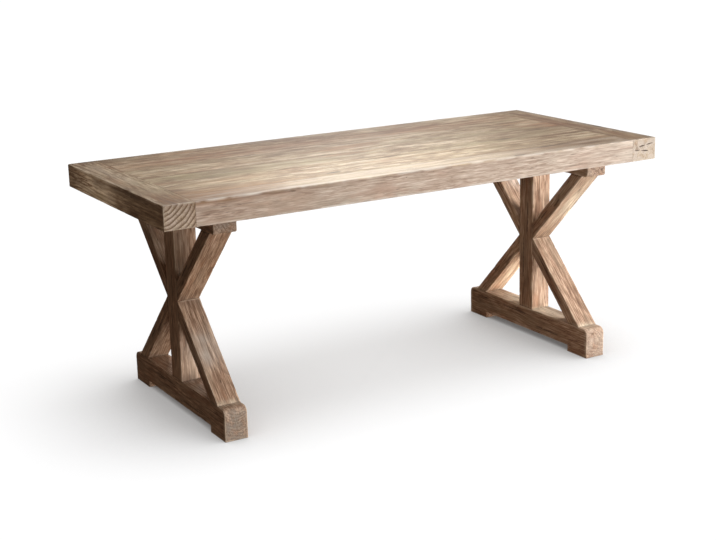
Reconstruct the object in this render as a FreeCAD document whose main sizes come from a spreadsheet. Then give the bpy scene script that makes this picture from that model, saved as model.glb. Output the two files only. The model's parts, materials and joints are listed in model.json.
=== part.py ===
import FreeCAD, Part
import os
import re
import Sketcher

# Sawbuck table: a framed plank top on two X-braced trestles.
# Millimetres. X runs along the table, the front is at -Y, Z is up and the floor is Z = 0.
# The origin is on the floor under the middle of the top.

# Driving sizes, in millimetres.
SIZES = {
    # Overall
    "top_length": 1810,
    "top_width": 785,
    "table_height": 760,
    # Frame of the top: two rails between two end boards
    "top_thickness": 75,
    "end_board_width": 100,
    "rail_width": 95,
    "rail_tenon_thickness": 25,
    "rail_tenon_length": 60,
    "rail_tenon_shoulder": 16,
    "peg_diameter": 10,
    "peg_reach": 8,
    "top_edge_radius": 4,
    # Field planks, tongued into the end boards and splined to each other
    "plank_thickness": 40,
    "tongue_thickness": 12,
    "tongue_length": 20,
    "spline_thickness": 8,
    "spline_width": 24,
    "spline_setback": 40,
    "seam_bevel": 0.8,
    # Cross battens under the planks, with recessed screws
    "batten_width": 100,
    "batten_tenon_thickness": 14,
    "batten_tenon_length": 15,
    "batten_tenon_shoulder": 10,
    "screw_offset": 30,
    "screw_diameter": 5,
    "screw_bite": 25,
    "screw_tip_length": 6,
    "screw_head_diameter": 9,
    "screw_head_height": 3,
    "counterbore_diameter": 14,
    "counterbore_depth": 12,
    # Trestles
    "trestle_inset": 212,
    "member_thickness": 77,
    "edge_radius": 2,
    "foot_height": 102,
    "foot_length": 700,
    "foot_relief": 22,
    "foot_toe": 42.5,
    "pad_length": 105,
    "nose_radius": 20,
    "post_width": 77,
    "post_tenon_thickness": 26,
    "post_tenon_shoulder": 13,
    "foot_tenon_length": 45,
    "head_tenon_length": 25,
    "waist_drop": 3,
    "brace_width": 43,
    "lower_ledge": 3,
    "upper_ledge": 1,
    "dowel_diameter": 10,
    "dowel_length": 36,
    "bearer_height": 45,
    "bearer_length": 679,
    "bearer_overhang": 28,
    "bearer_end_radius": 8,
    # Bolts that hold the top on the bearers
    "bolt_diameter": 8,
    "bolt_head_width": 13,
    "bolt_head_height": 5.3,
    "bolt_room": 61,
    "bolt_tip_gap": 3,
    "bolt_clearance": 0.5,
    "washer_diameter": 24,
    "washer_thickness": 2,
    "insert_diameter": 12,
    "insert_cover": 10,
    # Clearances: beside a tenon or tongue, past its end, and round a peg or dowel
    "side_gap": 0.2,
    "end_gap": 1.5,
    "bore_gap": 0.1,
}

PLANK_COUNT = 4

# Sizes that follow from the driving ones.
FORMULAS = {
    "underside": "table_height - top_thickness",
    "field_length": "top_length - 2 * end_board_width",
    "field_width": "top_width - 2 * rail_width",
    "plank_width": f"field_width / {PLANK_COUNT}",
    "frame_middle": "table_height - top_thickness / 2",
    "plank_middle": "table_height - plank_thickness / 2",
    "plank_underside": "table_height - plank_thickness",
    "batten_thickness": "top_thickness - plank_thickness",
    "batten_middle": "underside + batten_thickness / 2",
    "batten_tenon_width": "batten_width - 2 * batten_tenon_shoulder",
    "rail_middle": "top_width / 2 - rail_width / 2",
    "rail_tenon_width": "rail_width - 2 * rail_tenon_shoulder",
    "spline_depth": "spline_width / 2 + side_gap",
    "spline_groove": "spline_thickness + 2 * side_gap",
    "peg_x": "field_length / 2 + rail_tenon_length / 2",
    "peg_length": "top_thickness / 2 + rail_tenon_thickness / 2 + peg_reach",
    "peg_bore": "peg_diameter + 2 * bore_gap",
    "screw_length": "batten_thickness - counterbore_depth + screw_bite",
    "screw_bore": "screw_diameter + 2 * bore_gap",
    "bearer_underside": "underside - bearer_height",
    "bearer_middle": "underside - bearer_height / 2",
    "post_face": "post_width / 2",
    "post_length": "bearer_underside - foot_height",
    "post_tenon_width": "post_width - 2 * post_tenon_shoulder",
    "foot_half": "foot_length / 2",
    "bearer_half": "bearer_length / 2",
    "trestle_x": "top_length / 2 - trestle_inset",
    "waist_height": "(foot_height + bearer_underside) / 2 - waist_drop",
    "lower_reach": "foot_half - foot_toe",
    "upper_reach": "bearer_half - bearer_overhang",
    "lower_rise": "waist_height - foot_height",
    "upper_rise": "bearer_underside - waist_height",
    "lower_end_z": "waist_height + lower_ledge * lower_slope - lower_end_height",
    "upper_end_z": "waist_height - upper_ledge * upper_slope + upper_end_height",
    "lower_dowel_z": "(waist_height + lower_end_z) / 2 - dowel_depth / 2 * lower_slope",
    "upper_dowel_z": "(waist_height + upper_end_z) / 2 + dowel_depth / 2 * upper_slope",
    "dowel_bore": "dowel_diameter + 2 * bore_gap",
    "dowel_depth": "dowel_length / 2",
    "bolt_inner_y": "post_face + bolt_room",
    "bolt_outer_y": "upper_reach - upper_footprint - bolt_room",
    "bolt_bore": "bolt_diameter + 2 * bolt_clearance",
    "insert_length": "batten_thickness - insert_cover",
    "insert_bore": "bolt_diameter + 2 * bore_gap",
    "insert_hole": "insert_diameter + 2 * bore_gap",
}

# Each brace runs from the waist to its reach along the foot or the bearer.
# Its two ends are cut across the slant, so each is longer than the brace is wide.
LEVELS = ("lower", "upper")
for level in LEVELS:
    FORMULAS[f"{level}_outer_y"] = f"post_face + {level}_ledge"
    FORMULAS[f"{level}_slope"] = f"{level}_rise / ({level}_reach - {level}_outer_y)"
    FORMULAS[f"{level}_footprint"] = f"brace_width * sqrt(1 + 1 / {level}_slope ^ 2)"
    FORMULAS[f"{level}_end_height"] = f"brace_width * sqrt(1 + {level}_slope ^ 2)"
    FORMULAS[f"{level}_foot_middle"] = f"{level}_reach - {level}_footprint / 2"
    FORMULAS[f"{level}_dowel_y"] = f"{level}_foot_middle - dowel_depth / 2 / {level}_slope"

ENDS = {"left": -1, "right": 1}
SIDES = {"front": -1, "back": 1}
BATTENS = {
    "batten_outer_left": "-trestle_x",
    "batten_inner_left": "-trestle_x / 3",
    "batten_inner_right": "trestle_x / 3",
    "batten_outer_right": "trestle_x",
}
BOLT_PLACES = ["-bolt_outer_y", "-bolt_inner_y", "bolt_inner_y", "bolt_outer_y"]

X_AXIS = FreeCAD.Vector(1, 0, 0)
Z_AXIS = FreeCAD.Vector(0, 0, 1)
UPRIGHT = FreeCAD.Rotation()
ALONG_Y = FreeCAD.Rotation(X_AXIS, -90)
HALF_TURN = FreeCAD.Rotation(Z_AXIS, 180)
TOLERANCE = 0.001

doc = FreeCAD.newDocument("sawbuck_table")
sheet = doc.addObject("Spreadsheet::Sheet", "Sizes")
nodes = []


def fill_sheet():
    """Write one row for each driving size: its name, and its value under that alias."""
    for row, (alias, value) in enumerate(SIZES.items(), start=1):
        sheet.set(f"A{row}", alias)
        sheet.set(f"B{row}", str(value))
        sheet.setAlias(f"B{row}", alias)
    doc.recompute()


def expression(formula):
    """Turn a formula of named sizes into an expression of the sheet's cells."""
    def cell(match):
        word = match.group()
        if word in FORMULAS:
            return f"({expression(FORMULAS[word])})"
        return f"Sizes.{word}" if word in SIZES else word
    return re.sub(r"[a-z]\w*", cell, formula)


def measure(formula):
    """The present value of a formula of named sizes."""
    return float(sheet.evalExpression(expression(formula)))


def bind(item, sizes):
    """Tie properties of an object to formulas of named sizes."""
    for name, formula in sizes.items():
        item.setExpression(name, expression(formula))


def bind_place(item, place, turn=UPRIGHT):
    """Tie an object's position to three formulas, after a fixed turn."""
    item.Placement = FreeCAD.Placement(FreeCAD.Vector(), turn)
    bind(item, {f"Placement.Base.{axis}": formula for axis, formula in zip("xyz", place)})


def new_body(label, place=("0", "0", "0"), turn=UPRIGHT):
    """Start a sub-part with its own name and place."""
    body = doc.addObject("PartDesign::Body", label)
    body.Label = label
    bind_place(body, place, turn)
    nodes.append(body)
    return body


def block(body, name, size, middle, cut=False):
    """Add a rectangular block to a body, or cut one out of it."""
    item = body.newObject("PartDesign::SubtractiveBox" if cut else "PartDesign::AdditiveBox", name)
    bind(item, dict(zip(("Length", "Width", "Height"), size)))
    bind_place(item, [f"({m}) - ({s}) / 2" for m, s in zip(middle, size)])
    return item


def bore(body, name, diameter, depth, start, turn=UPRIGHT):
    """Drill a round hole from a start point, upwards or along +Y."""
    item = body.newObject("PartDesign::SubtractiveCylinder", name)
    bind(item, {"Radius": f"({diameter}) / 2", "Height": depth})
    bind_place(item, start, turn)
    return item


def profile_pad(body, corners, thickness):
    """Pad a polygon of the YZ plane by the same amount to both sides."""
    sketch = body.newObject("Sketcher::SketchObject", f"{body.Label}_profile")
    plane = next(item for item in body.Origin.OriginFeatures if item.Role == "YZ_Plane")
    sketch.AttachmentSupport = [(plane, "")]
    sketch.MapMode = "FlatFace"
    points = [FreeCAD.Vector(measure(across), measure(up), 0) for across, up in corners]
    for index, point in enumerate(points):
        sketch.addGeometry(Part.LineSegment(point, points[(index + 1) % len(points)]))
    for index, point in enumerate(points):
        following = (index + 1) % len(points)
        sketch.addConstraint(Sketcher.Constraint("Coincident", index, 2, following, 1))
        for axis, value, formula in zip("XY", point, corners[index]):
            name = f"corner_{index}_{axis.lower()}"
            number = sketch.addConstraint(Sketcher.Constraint(f"Distance{axis}", -1, 1, index, 1, value))
            sketch.renameConstraint(number, name)
            bind(sketch, {f"Constraints.{name}": formula})
    pad = body.newObject("PartDesign::Pad", f"{body.Label}_pad")
    pad.Profile = sketch
    pad.SideType = "Symmetric"
    bind(pad, {"Length": thickness})
    return pad


def ease_edges(body, name, kind, sizes, wanted):
    """Round or bevel the edges of a body that pass a test."""
    doc.recompute()
    base = body.Tip
    edges = [f"Edge{number}" for number, edge in enumerate(base.Shape.Edges, start=1) if wanted(edge)]
    item = body.newObject(kind, name)
    item.Base = (base, edges)
    bind(item, sizes)
    return item


def round_edges(body, name, radius, wanted):
    """Round the edges of a body that pass a test."""
    return ease_edges(body, name, "PartDesign::Fillet", {"Radius": radius}, wanted)


def near(value, target):
    """Whether two lengths are the same."""
    return abs(value - target) < TOLERANCE


def lies_at(edge, axis, value):
    """Whether a whole edge lies in the plane across one axis at a value."""
    box = edge.BoundBox
    low = getattr(box, f"{axis}Min")
    high = getattr(box, f"{axis}Max")
    return near(low, value) and near(high, value)


def runs_along(edge, axis):
    """Whether an edge is straight and parallel to one axis."""
    box = edge.BoundBox
    across = [letter for letter in "XYZ" if letter != axis]
    return all(near(getattr(box, f"{letter}Length"), 0) for letter in across)


def cylinder(name, diameter, length, start, turn=UPRIGHT):
    """A round bar from a start point, upwards or along +Y."""
    item = doc.addObject("Part::Cylinder", name)
    bind(item, {"Radius": f"({diameter}) / 2", "Height": length})
    bind_place(item, start, turn)
    return item


def ring(name, outer, inner, length, start):
    """An upright tube from a start point."""
    item = doc.addObject("Part::Cut", name)
    item.Base = cylinder(f"{name}_outside", outer, length, start)
    item.Tool = cylinder(f"{name}_inside", inner, length, start)
    return item


def joined(name, pieces):
    """One solid from pieces that touch."""
    item = doc.addObject("Part::MultiFuse", name)
    item.Shapes = pieces
    return item


def group(label, solids, place=("0", "0", "0")):
    """A sub-part made of separate identical solids."""
    item = doc.addObject("Part::Compound", label)
    item.Label = label
    item.Links = solids
    bind_place(item, place)
    nodes.append(item)


def plank_place(index):
    """The middle of a field plank across the table, from the front."""
    return f"({index} - ({PLANK_COUNT} - 1) / 2) * plank_width"


def screw_place(index):
    """The place of a plank's screw along a batten's width, on alternate sides of its middle."""
    return "screw_offset" if index % 2 else "-screw_offset"


def make_plank(index):
    """A field plank with a tongue at each end and a spline groove along each edge."""
    label = f"top_plank_{index + 1}"
    body = new_body(label, ("0", plank_place(index), "0"))
    middle = ("0", "0", "plank_middle")
    block(body, f"{label}_board", ("field_length", "plank_width", "plank_thickness"), middle)
    top = measure("table_height")
    ease_edges(
        body, f"{label}_bevel", "PartDesign::Chamfer", {"Size": "seam_bevel"},
        lambda edge: lies_at(edge, "Z", top) and runs_along(edge, "X"),
    )
    tongue = ("field_length + 2 * tongue_length", "plank_width", "tongue_thickness")
    block(body, f"{label}_tongue", tongue, middle)
    for side, sign in SIDES.items():
        groove = ("field_length", "spline_depth", "spline_groove")
        inset = ("0", f"{sign} * (plank_width - spline_depth) / 2", "plank_middle")
        block(body, f"{label}_groove_{side}", groove, inset, cut=True)
    for name, batten_x in BATTENS.items():
        start = (f"{batten_x} + ({screw_place(index)})", "0", "plank_underside")
        bore(body, f"{label}_{name}_hole", "screw_bore", "screw_bite + end_gap", start)


def make_rail(side):
    """A long edge rail, with tenons at its ends and mortises for the battens in its inner face."""
    label = f"{side}_rail"
    body = new_body(label, turn=UPRIGHT if side == "back" else HALF_TURN)
    middle = ("0", "rail_middle", "frame_middle")
    block(body, f"{label}_board", ("field_length", "rail_width", "top_thickness"), middle)
    outer = measure("top_width / 2")
    round_edges(
        body, f"{label}_worn_edges", "top_edge_radius",
        lambda edge: lies_at(edge, "Y", outer) and runs_along(edge, "X"),
    )
    tenon = ("field_length + 2 * rail_tenon_length", "rail_tenon_width", "rail_tenon_thickness")
    block(body, f"{label}_tenons", tenon, middle)
    groove = ("field_length", "spline_depth", "spline_groove")
    inset = ("0", "field_width / 2 + spline_depth / 2", "plank_middle")
    block(body, f"{label}_groove", groove, inset, cut=True)
    depth = "batten_tenon_length + end_gap"
    mortise = ("batten_tenon_width + 2 * side_gap", depth, "batten_tenon_thickness + 2 * side_gap")
    for name, batten_x in BATTENS.items():
        inset = (batten_x, f"field_width / 2 + ({depth}) / 2", "batten_middle")
        block(body, f"{label}_{name}_mortise", mortise, inset, cut=True)
    for end, sign in ENDS.items():
        start = (f"{sign} * peg_x", "rail_middle", "underside")
        bore(body, f"{label}_{end}_peg_hole", "peg_bore", "top_thickness", start)


def make_end_board(end):
    """An end board across the whole width, grooved for the planks and mortised for the rails."""
    label = f"end_board_{end}"
    body = new_body(label, turn=UPRIGHT if end == "right" else HALF_TURN)
    middle = ("top_length / 2 - end_board_width / 2", "0", "frame_middle")
    block(body, f"{label}_board", ("end_board_width", "top_width", "top_thickness"), middle)
    inner = measure("field_length / 2")
    round_edges(
        body, f"{label}_worn_edges", "top_edge_radius", lambda edge: not lies_at(edge, "X", inner)
    )
    depth = "tongue_length + end_gap"
    groove = (depth, "field_width", "tongue_thickness + 2 * side_gap")
    inset = (f"(field_length + {depth}) / 2", "0", "plank_middle")
    block(body, f"{label}_groove", groove, inset, cut=True)
    depth = "rail_tenon_length + end_gap"
    mortise = (depth, "rail_tenon_width + 2 * side_gap", "rail_tenon_thickness + 2 * side_gap")
    for side, sign in SIDES.items():
        inset = (f"(field_length + {depth}) / 2", f"{sign} * rail_middle", "frame_middle")
        block(body, f"{label}_{side}_mortise", mortise, inset, cut=True)
        start = ("peg_x", f"{sign} * rail_middle", "underside")
        bore(body, f"{label}_{side}_peg_hole", "peg_bore", "peg_length + end_gap", start)


def make_splines():
    """The strips in the long seams, between the planks and beside the rails."""
    size = ("field_length - 2 * spline_setback", "spline_width", "spline_thickness")
    solids = []
    for index in range(PLANK_COUNT + 1):
        strip = doc.addObject("Part::Box", f"spline_{index + 1}")
        bind(strip, dict(zip(("Length", "Width", "Height"), size)))
        middle = ("0", f"({index} - {PLANK_COUNT} / 2) * plank_width", "plank_middle")
        bind_place(strip, [f"({m}) - ({s}) / 2" for m, s in zip(middle, size)])
        solids.append(strip)
    group("plank_splines", solids)


def make_pegs():
    """The pegs driven up through the rail tenons."""
    solids = []
    for end, along in ENDS.items():
        for side, across in SIDES.items():
            start = (f"{along} * peg_x", f"{across} * rail_middle", "underside")
            solids.append(cylinder(f"peg_{end}_{side}", "peg_diameter", "peg_length", start))
    group("tenon_pegs", solids)


def make_batten(label, batten_x):
    """A cross batten with stub tenons, recessed screw holes and, over a bearer, insert holes."""
    body = new_body(label, (batten_x, "0", "0"))
    middle = ("0", "0", "batten_middle")
    block(body, f"{label}_board", ("batten_width", "field_width", "batten_thickness"), middle)
    tenon = ("batten_tenon_width", "field_width + 2 * batten_tenon_length", "batten_tenon_thickness")
    block(body, f"{label}_tenons", tenon, middle)
    for index in range(PLANK_COUNT):
        start = (screw_place(index), plank_place(index), "underside")
        bore(body, f"{label}_screw_{index}_hole", "screw_bore", "batten_thickness", start)
        bore(body, f"{label}_screw_{index}_recess", "counterbore_diameter", "counterbore_depth", start)
    if "outer" in label:
        for number, bolt_y in enumerate(BOLT_PLACES):
            start = ("0", bolt_y, "underside")
            bore(body, f"{label}_insert_{number}_hole", "insert_hole", "insert_length", start)


def make_screw(name, x, y):
    """A wood screw with its head against the bottom of its recess."""
    seat = "underside + counterbore_depth"
    shank = "screw_length - screw_tip_length"
    tip = doc.addObject("Part::Cone", f"{name}_tip")
    bind(tip, {"Radius1": "screw_diameter / 2", "Radius2": "0", "Height": "screw_tip_length"})
    bind_place(tip, (x, y, f"{seat} + {shank}"))
    head_start = (x, y, f"{seat} - screw_head_height")
    head = cylinder(f"{name}_head", "screw_head_diameter", "screw_head_height", head_start)
    stem = cylinder(f"{name}_shank", "screw_diameter", shank, (x, y, seat))
    return joined(name, [head, stem, tip])


def make_screws():
    """One screw where each batten crosses each plank."""
    solids = []
    for batten, batten_x in BATTENS.items():
        for index in range(PLANK_COUNT):
            x = f"{batten_x} + ({screw_place(index)})"
            solids.append(make_screw(f"{batten}_screw_{index}", x, plank_place(index)))
    group("batten_screws", solids)


def trestle_place(end):
    """The place of a trestle along the table."""
    return (f"{ENDS[end]} * trestle_x", "0", "0")


def is_worn(edge):
    """Whether an edge borders a side face of a trestle member."""
    half = measure("member_thickness / 2")
    return lies_at(edge, "X", half) or lies_at(edge, "X", -half)


def make_foot(end):
    """A foot with two pads, rounded noses, a mortise for the post and holes for the brace dowels."""
    label = f"foot_{end}"
    body = new_body(label, trestle_place(end))
    corners = [
        ("-foot_half", "0"),
        ("pad_length - foot_half", "0"),
        ("pad_length - foot_half", "foot_relief"),
        ("foot_half - pad_length", "foot_relief"),
        ("foot_half - pad_length", "0"),
        ("foot_half", "0"),
        ("foot_half", "foot_height"),
        ("-foot_half", "foot_height"),
    ]
    profile_pad(body, corners, "member_thickness")
    top = measure("foot_height")
    relief = measure("foot_relief")
    round_edges(
        body, f"{label}_noses", "nose_radius",
        lambda edge: lies_at(edge, "Z", top) and runs_along(edge, "X"),
    )
    round_edges(
        body, f"{label}_worn_edges", "edge_radius",
        lambda edge: is_worn(edge) and edge.BoundBox.ZMax > relief + TOLERANCE,
    )
    depth = "foot_tenon_length + end_gap"
    mortise = ("post_tenon_thickness + 2 * side_gap", "post_tenon_width + 2 * side_gap", depth)
    block(body, f"{label}_mortise", mortise, ("0", "0", f"foot_height - ({depth}) / 2"), cut=True)
    for side, sign in SIDES.items():
        start = ("0", f"{sign} * lower_dowel_y", "foot_height - dowel_depth - end_gap")
        bore(body, f"{label}_{side}_dowel_hole", "dowel_bore", "dowel_depth + end_gap", start)


def make_bearer(end):
    """The beam under the top, with rounded lower ends, a mortise and bolt and dowel holes."""
    label = f"bearer_{end}"
    body = new_body(label, trestle_place(end))
    size = ("member_thickness", "bearer_length", "bearer_height")
    block(body, f"{label}_beam", size, ("0", "0", "bearer_middle"))
    bottom = measure("bearer_underside")
    top = measure("underside")
    round_edges(
        body, f"{label}_ends", "bearer_end_radius",
        lambda edge: lies_at(edge, "Z", bottom) and runs_along(edge, "X"),
    )
    round_edges(
        body, f"{label}_worn_edges", "edge_radius",
        lambda edge: is_worn(edge) and not lies_at(edge, "Z", top),
    )
    depth = "head_tenon_length + end_gap"
    mortise = ("post_tenon_thickness + 2 * side_gap", "post_tenon_width + 2 * side_gap", depth)
    block(body, f"{label}_mortise", mortise, ("0", "0", f"bearer_underside + ({depth}) / 2"), cut=True)
    for side, sign in SIDES.items():
        start = ("0", f"{sign} * upper_dowel_y", "bearer_underside")
        bore(body, f"{label}_{side}_dowel_hole", "dowel_bore", "dowel_depth + end_gap", start)
    for number, bolt_y in enumerate(BOLT_PLACES):
        start = ("0", bolt_y, "bearer_underside")
        bore(body, f"{label}_bolt_{number}_hole", "bolt_bore", "bearer_height", start)


def make_post(end):
    """The post between foot and bearer, tenoned into both, with dowel holes for the braces."""
    label = f"post_{end}"
    body = new_body(label, trestle_place(end))
    middle = ("0", "0", "foot_height + post_length / 2")
    block(body, f"{label}_shaft", ("member_thickness", "post_width", "post_length"), middle)
    round_edges(body, f"{label}_worn_edges", "edge_radius", lambda edge: runs_along(edge, "Z"))
    length = "post_length + foot_tenon_length + head_tenon_length"
    centre = ("0", "0", f"foot_height - foot_tenon_length + ({length}) / 2")
    block(body, f"{label}_tenons", ("post_tenon_thickness", "post_tenon_width", length), centre)
    depth = "dowel_depth + end_gap"
    starts = {"front": "-post_face", "back": f"post_face - ({depth})"}
    for side, start_y in starts.items():
        for level in LEVELS:
            start = ("0", start_y, f"{level}_dowel_z")
            bore(body, f"{label}_{level}_{side}_dowel_hole", "dowel_bore", depth, start, ALONG_Y)


def make_brace(level, side, end):
    """Half of one diagonal of the X, from the post to the foot or to the bearer."""
    label = f"brace_{level}_{side}_{end}"
    body = new_body(label, trestle_place(end), UPRIGHT if side == "back" else HALF_TURN)
    far_z = {"lower": "foot_height", "upper": "bearer_underside"}[level]
    corners = [
        ("post_face", "waist_height"),
        (f"{level}_outer_y", "waist_height"),
        (f"{level}_reach", far_z),
        (f"{level}_reach - {level}_footprint", far_z),
        ("post_face", f"{level}_end_z"),
    ]
    profile_pad(body, corners, "member_thickness")
    round_edges(
        body, f"{label}_worn_edges", "edge_radius",
        lambda edge: is_worn(edge) and not runs_along(edge, "Y") and not runs_along(edge, "Z"),
    )
    depth = "dowel_depth + end_gap"
    far_start = far_z if level == "lower" else f"{far_z} - ({depth})"
    bore(body, f"{label}_far_hole", "dowel_bore", depth, ("0", f"{level}_dowel_y", far_start))
    bore(body, f"{label}_post_hole", "dowel_bore", depth, ("0", "post_face", f"{level}_dowel_z"), ALONG_Y)


def make_dowels(end):
    """Two dowels for each brace of a trestle: one into the post, one into the foot or bearer."""
    solids = []
    far_starts = {"lower": "foot_height - dowel_depth", "upper": "bearer_underside - dowel_depth"}
    for level, far_z in far_starts.items():
        for side, sign in SIDES.items():
            name = f"dowel_{level}_{side}_{end}"
            far = ("0", f"{sign} * {level}_dowel_y", far_z)
            solids.append(cylinder(f"{name}_far", "dowel_diameter", "dowel_length", far))
            post = ("0", f"{sign} * post_face - dowel_depth", f"{level}_dowel_z")
            solids.append(cylinder(f"{name}_post", "dowel_diameter", "dowel_length", post, ALONG_Y))
    group(f"brace_dowels_{end}", solids, trestle_place(end))


def make_bolts(end):
    """Hexagon bolts up through a bearer, their washers, and the threaded inserts in the batten."""
    bolts = []
    washers = []
    inserts = []
    washer_z = "bearer_underside - washer_thickness"
    head_z = f"{washer_z} - bolt_head_height"
    shank = "washer_thickness + bearer_height + insert_length - bolt_tip_gap"
    for number, bolt_y in enumerate(BOLT_PLACES):
        name = f"bolt_{end}_{number}"
        head = doc.addObject("Part::Prism", f"{name}_head")
        head.Polygon = 6
        bind(head, {"Circumradius": "bolt_head_width / sqrt(3)", "Height": "bolt_head_height"})
        bind_place(head, ("0", bolt_y, head_z))
        stem = cylinder(f"{name}_shank", "bolt_diameter", shank, ("0", bolt_y, washer_z))
        bolts.append(joined(name, [head, stem]))
        place = ("0", bolt_y, washer_z)
        washers.append(ring(f"{name}_washer", "washer_diameter", "bolt_bore", "washer_thickness", place))
        place = ("0", bolt_y, "underside")
        inserts.append(ring(f"{name}_insert", "insert_diameter", "insert_bore", "insert_length", place))
    place = trestle_place(end)
    group(f"bearer_bolts_{end}", bolts, place)
    group(f"bearer_washers_{end}", washers, place)
    group(f"bearer_inserts_{end}", inserts, place)


def make_top():
    """The framed top with its planks, battens and fixings."""
    for end in ENDS:
        make_end_board(end)
    for side in SIDES:
        make_rail(side)
    for index in range(PLANK_COUNT):
        make_plank(index)
    for label, batten_x in BATTENS.items():
        make_batten(label, batten_x)
    make_splines()
    make_pegs()
    make_screws()


def make_trestle(end):
    """One X-braced trestle with its dowels and bolts."""
    make_foot(end)
    make_post(end)
    make_bearer(end)
    for level in LEVELS:
        for side in SIDES:
            make_brace(level, side, end)
    make_dowels(end)
    make_bolts(end)


def check_model():
    """Stop if an object failed or a sub-part has no valid shape."""
    for item in doc.Objects:
        if "Invalid" in item.State or "Error" in item.State:
            raise RuntimeError(f"{item.Label} failed: {item.State}")
    for node in nodes:
        if node.Shape.isNull() or not node.Shape.isValid() or not node.Shape.Solids:
            raise RuntimeError(f"{node.Label} has no valid shape")


def export_nodes():
    """Write each sub-part to its own file."""
    os.makedirs("parts", exist_ok=True)
    for node in nodes:
        node.Shape.exportStep(f"parts/{node.Label}.step")


fill_sheet()
make_top()
for trestle_end in ENDS:
    make_trestle(trestle_end)
doc.recompute()
check_model()
export_nodes()
print(f"{len(nodes)} nodes, {sum(len(node.Shape.Solids) for node in nodes)} solids")
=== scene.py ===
import itertools
import json
import math

import bpy
import numpy as np
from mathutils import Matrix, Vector
from mathutils.geometry import delaunay_2d_cdt

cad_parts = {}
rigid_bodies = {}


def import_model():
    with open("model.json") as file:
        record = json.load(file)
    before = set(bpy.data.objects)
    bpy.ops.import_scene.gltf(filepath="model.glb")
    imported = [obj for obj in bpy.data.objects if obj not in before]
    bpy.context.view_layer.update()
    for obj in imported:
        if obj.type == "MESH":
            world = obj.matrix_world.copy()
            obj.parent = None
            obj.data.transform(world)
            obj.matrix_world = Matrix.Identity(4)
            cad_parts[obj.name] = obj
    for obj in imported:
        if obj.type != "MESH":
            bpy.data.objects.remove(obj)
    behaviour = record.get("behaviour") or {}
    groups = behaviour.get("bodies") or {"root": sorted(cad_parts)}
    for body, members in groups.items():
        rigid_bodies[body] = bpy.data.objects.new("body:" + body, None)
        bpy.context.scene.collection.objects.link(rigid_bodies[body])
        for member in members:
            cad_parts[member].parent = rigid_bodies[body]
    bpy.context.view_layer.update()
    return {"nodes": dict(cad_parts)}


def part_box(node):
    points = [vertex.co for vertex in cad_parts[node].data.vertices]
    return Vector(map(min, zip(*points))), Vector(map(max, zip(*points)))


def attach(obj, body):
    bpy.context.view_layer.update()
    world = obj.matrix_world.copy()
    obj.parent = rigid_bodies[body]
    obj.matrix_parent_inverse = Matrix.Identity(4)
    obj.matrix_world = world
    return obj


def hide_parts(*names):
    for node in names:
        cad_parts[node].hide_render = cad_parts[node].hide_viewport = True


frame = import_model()

# Sawbuck table of weathered timber. Metres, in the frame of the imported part.

# Shapes shared with the solids
TOP = 0.76
FOOT_RELIEF = 0.022
PAD_LENGTH = 0.105
NOSE_RADIUS = 0.02
BEARER_END_RADIUS = 0.008
BRACE_WIDTH = 0.043
LEDGES = {"lower": 0.003, "upper": 0.001}

# Edges: worn round where they are handled, nearly sharp where two boards meet
TOP_ARRIS = 0.0024
LEG_ARRIS = 0.0021
LOW_ARRIS = 0.0016
SEAM = 0.0003
WORN_FROM = 0.0012
ROUNDED_FROM = 0.006
WEAR_REACH = 0.0012

# How unevenly an arris is worn
ARRIS_WAVER = 0.3
ARRIS_LEAST = 0.3
ARRIS_MOST = 1.8
ARRIS_WAVES = ((0.6, 0.11), (0.4, 0.028))
CHIP_SIZE = 0.021
CHIP_FROM = 0.62
CHIP_DEPTH = 4
CORNER_ROOM = 0.45
END_ROOM = 0.3
CORNER_EASE = 0.8
GAP_EASE = 0.6

# Fineness of the meshes
CELL = 0.008
END_CELL = 0.0045
EDGE_STEPS = (0.0, 0.0015, 0.004)
END_STEPS = 4
SEAM_STEPS, ARRIS_STEPS, NOSE_STEPS = 4, 6, 9
RING_ROOM = 0.7
CRACK_ROOM = 0.55
WELD = 1e-7

# Dirt at a crack's tips, along its bottom and on its lips
TIP_DIRT, DEEP_DIRT, LIP_DIRT = 0.6, 2.0, 1.1

# Faces swell a little; stains, and the painted light and shade laid on like them, have ragged edges
SURFACE_SWELL = 0.0004
SWELL_WAVES = ((0.65, (0.16, 0.04, 0.04)), (0.35, (0.05, 0.012, 0.012)))
STAIN_AND_LIGHT_RAGGED = 0.35
STAIN_AND_LIGHT_GRAIN = 0.05
END_GRAIN_FROM = 0.8

SIDES = {"front": -1, "back": 1}
X, Y, Z = np.eye(3)

# Steps from a timber's seed to those of its corners, ends, swell, stains with painted light and shade, and
# cracks
CORNER_SEED, END_SEED, SWELL_SEED, STAIN_AND_LIGHT_SEED, CHECK_SEEDS = 11, 301, 401, 403, (500, 550)

HASH_STEPS = np.array([0x9E3779B97F4A7C15, 0xC2B2AE3D27D4EB4F, 0x165667B19E3779F9], dtype=np.uint64)
HASH_SEED = 7919
HASH_RANGE = 1 << 20


def lattice(cells, seed):
    """A repeatable random value in -1..1 for each whole-number cell."""
    steps = HASH_STEPS[:cells.shape[-1]]
    mixed = (cells.astype(np.uint64) * steps).sum(axis=-1) + np.uint64(seed * HASH_SEED + 1)
    for _ in range(2):
        mixed = mixed ^ (mixed >> np.uint64(29))
        mixed = mixed * np.uint64(0xBF58476D1CE4E5B9)
    mixed = mixed ^ (mixed >> np.uint64(32))
    return (mixed % np.uint64(HASH_RANGE)).astype(float) / (HASH_RANGE / 2) - 1


def noise(points, size, seed):
    """Smooth noise in -1..1 at points, with features of about a given size."""
    spots = points / np.asarray(size)
    base = np.floor(spots)
    share = spots - base
    share = share * share * (3 - 2 * share)
    cells = base.astype(np.int64)
    total = np.zeros(points.shape[:-1])
    for step in itertools.product((0, 1), repeat=points.shape[-1]):
        weight = np.prod(np.where(np.array(step, bool), share, 1 - share), axis=-1)
        total += weight * lattice(cells + np.array(step), seed)
    return total


def waves(points, layers, seed):
    """Noise of several sizes, each with its share."""
    return sum(share * noise(points, size, seed + number) for number, (share, size) in enumerate(layers))


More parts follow.
